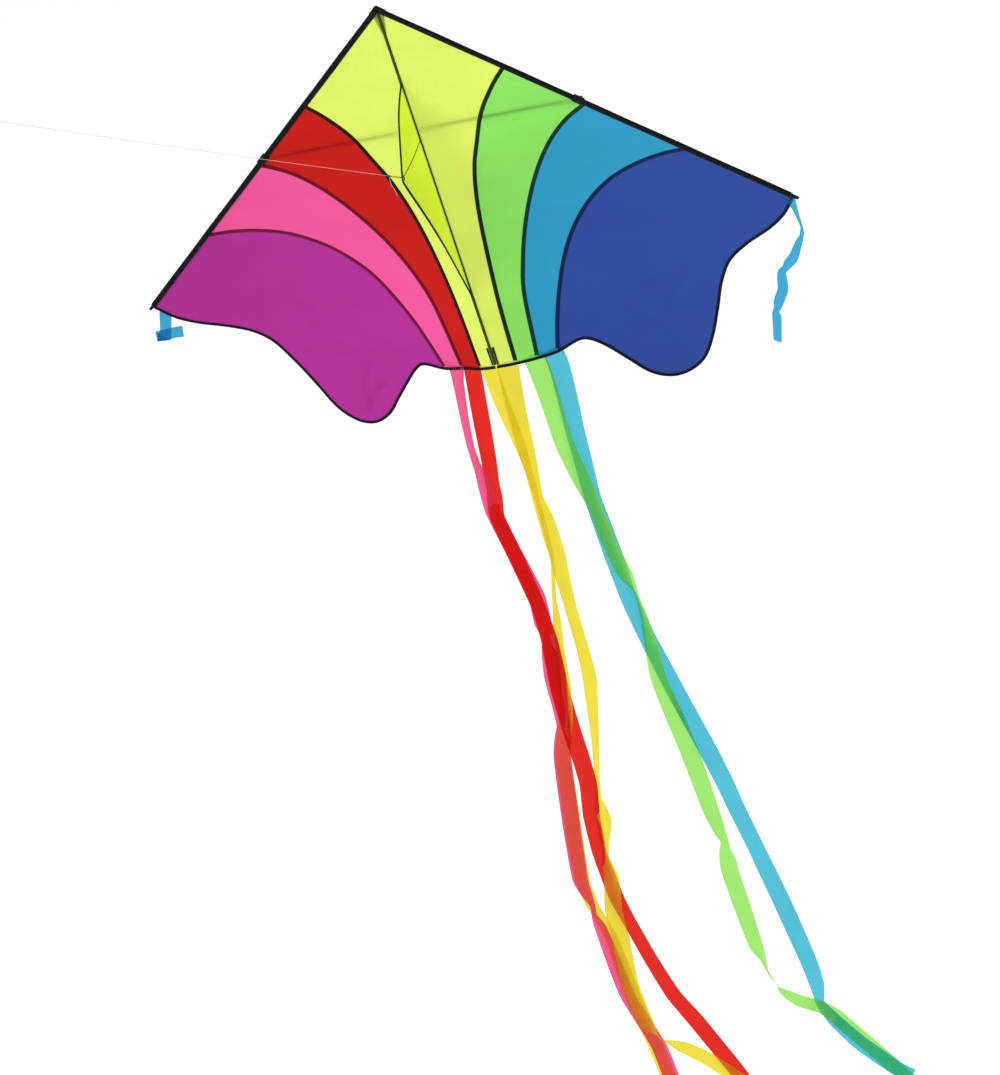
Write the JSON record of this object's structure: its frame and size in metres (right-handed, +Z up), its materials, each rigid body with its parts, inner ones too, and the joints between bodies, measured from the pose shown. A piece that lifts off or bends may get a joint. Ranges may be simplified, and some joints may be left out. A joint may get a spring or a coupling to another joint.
{
  "type": "delta kite",
  "caption": "Delta kite with folding wings on a spine, a triangular keel on a flying line, rainbow sail panels, ribbon tails and tip streamers.",
  "frame": {"origin": "centre of the tow eyelet in the keel", "axes": "+Z up the spine to the nose, -Y towards the flyer, X across the wings"},
  "size_m": [1.6362, 1.2078, 3.7969],
  "materials": {
    "sail_yellow": "thin lime yellow ripstop nylon",
    "sail_red": "thin red ripstop nylon",
    "sail_pink": "thin pink ripstop nylon",
    "sail_purple": "thin purple ripstop nylon",
    "sail_green": "thin green ripstop nylon",
    "sail_teal": "thin teal ripstop nylon",
    "sail_blue": "thin dark blue ripstop nylon",
    "black_tape": "woven black tape",
    "rod": "pultruded glass fibre",
    "black_plastic": "moulded black plastic",
    "eyelet": "black eyelet",
    "line": "braided white line",
    "loop_cord": "braided black cord",
    "tail_pink": "pink ribbon",
    "tail_red": "red ribbon",
    "tail_yellow": "yellow ribbon",
    "tail_green": "light green ribbon",
    "tail_sky_blue": "sky blue ribbon"
  },
  "bodies": {
    "keel": {"keel_panel": "sail_yellow", "keel_hem": "black_tape", "tow_eyelet": "eyelet", "bridle_loop": "loop_cord", "line_knot": "loop_cord", "flying_line": "line", "line_end_loop": "line", "line_tag_end": "line"},
    "airframe": {"spine_rod": "rod", "spine_pocket": "black_tape", "nose_cap": "black_tape", "nose_patch": "black_tape", "tail_pocket": "black_tape", "spreader_rod": "rod"},
    "wing_left": {"sail_yellow_left": "sail_yellow", "sail_red": "sail_red", "sail_pink": "sail_pink", "sail_purple": "sail_purple", "seam_tape_inner_left": "black_tape", "seam_tape_middle_left": "black_tape", "seam_tape_outer_left": "black_tape", "trailing_hem_left": "black_tape", "leading_edge_sleeve_left": "black_tape", "leading_edge_rod_left": "rod", "tip_end_cap_left": "black_plastic", "spreader_connector_left": "black_plastic"},
    "wing_right": {"sail_yellow_right": "sail_yellow", "sail_green": "sail_green", "sail_teal": "sail_teal", "sail_blue": "sail_blue", "seam_tape_inner_right": "black_tape", "seam_tape_middle_right": "black_tape", "seam_tape_outer_right": "black_tape", "trailing_hem_right": "black_tape", "leading_edge_sleeve_right": "black_tape", "leading_edge_rod_right": "rod", "tip_end_cap_right": "black_plastic", "spreader_connector_right": "black_plastic"},
    "tail_pink": {"tail_pink": "tail_pink"},
    "tail_red": {"tail_red": "tail_red"},
    "tail_yellow_left": {"tail_yellow_left": "tail_yellow"},
    "tail_yellow_right": {"tail_yellow_right": "tail_yellow"},
    "tail_green": {"tail_green": "tail_green"},
    "tail_sky_blue": {"tail_sky_blue": "tail_sky_blue"},
    "tip_streamer_left": {"tip_streamer_left": "tail_sky_blue"},
    "tip_streamer_right": {"tip_streamer_right": "tail_sky_blue"}
  },
  "joints": [
    {"name": "keel_swing", "type": "hinge", "parent": "keel", "child": "airframe", "pos_m": [0, 0.17, 0], "axis": [0, 0, 1], "range_deg": [-10, 10]},
    {"name": "wing_fold_left", "type": "hinge", "parent": "airframe", "child": "wing_left", "pos_m": [0, 0.17, 0], "axis": [0, 0, 1], "range_deg": [0, 65]},
    {"name": "wing_fold_right", "type": "hinge", "parent": "airframe", "child": "wing_right", "pos_m": [0, 0.17, 0], "axis": [0, 0, -1], "range_deg": [0, 65]},
    {"name": "tail_pink_swing", "type": "hinge", "parent": "wing_left", "child": "tail_pink", "pos_m": [-0.11, 0.17, -0.57], "axis": [1, 0, 0], "range_deg": [-40, 75]},
    {"name": "tail_red_swing", "type": "hinge", "parent": "wing_left", "child": "tail_red", "pos_m": [-0.063, 0.17, -0.57], "axis": [1, 0, 0], "range_deg": [-40, 75]},
    {"name": "tail_yellow_left_swing", "type": "hinge", "parent": "wing_left", "child": "tail_yellow_left", "pos_m": [-0.03, 0.17, -0.57], "axis": [1, 0, 0], "range_deg": [-40, 75]},
    {"name": "tail_yellow_right_swing", "type": "hinge", "parent": "wing_right", "child": "tail_yellow_right", "pos_m": [0.03, 0.17, -0.57], "axis": [1, 0, 0], "range_deg": [-40, 75]},
    {"name": "tail_green_swing", "type": "hinge", "parent": "wing_right", "child": "tail_green", "pos_m": [0.078, 0.17, -0.57], "axis": [1, 0, 0], "range_deg": [-40, 75]},
    {"name": "tail_sky_blue_swing", "type": "hinge", "parent": "wing_right", "child": "tail_sky_blue", "pos_m": [0.13, 0.17, -0.57], "axis": [1, 0, 0], "range_deg": [-40, 75]},
    {"name": "tip_streamer_left_swing", "type": "hinge", "parent": "wing_left", "child": "tip_streamer_left", "pos_m": [-0.801, 0.17, -0.304], "axis": [1, 0, 0], "range_deg": [-60, 80]},
    {"name": "tip_streamer_right_swing", "type": "hinge", "parent": "wing_right", "child": "tip_streamer_right", "pos_m": [0.801, 0.17, -0.304], "axis": [1, 0, 0], "range_deg": [-60, 80]}
  ],
  "couplings": [
    {"joint": "tail_pink_swing", "follows": "tail_yellow_right_swing", "ratio": 1},
    {"joint": "tail_red_swing", "follows": "tail_yellow_right_swing", "ratio": 1},
    {"joint": "tail_yellow_left_swing", "follows": "tail_yellow_right_swing", "ratio": 1},
    {"joint": "tail_green_swing", "follows": "tail_yellow_right_swing", "ratio": 1},
    {"joint": "tail_sky_blue_swing", "follows": "tail_yellow_right_swing", "ratio": 1},
    {"joint": "tip_streamer_right_swing", "follows": "tip_streamer_left_swing", "ratio": 1}
  ]
}
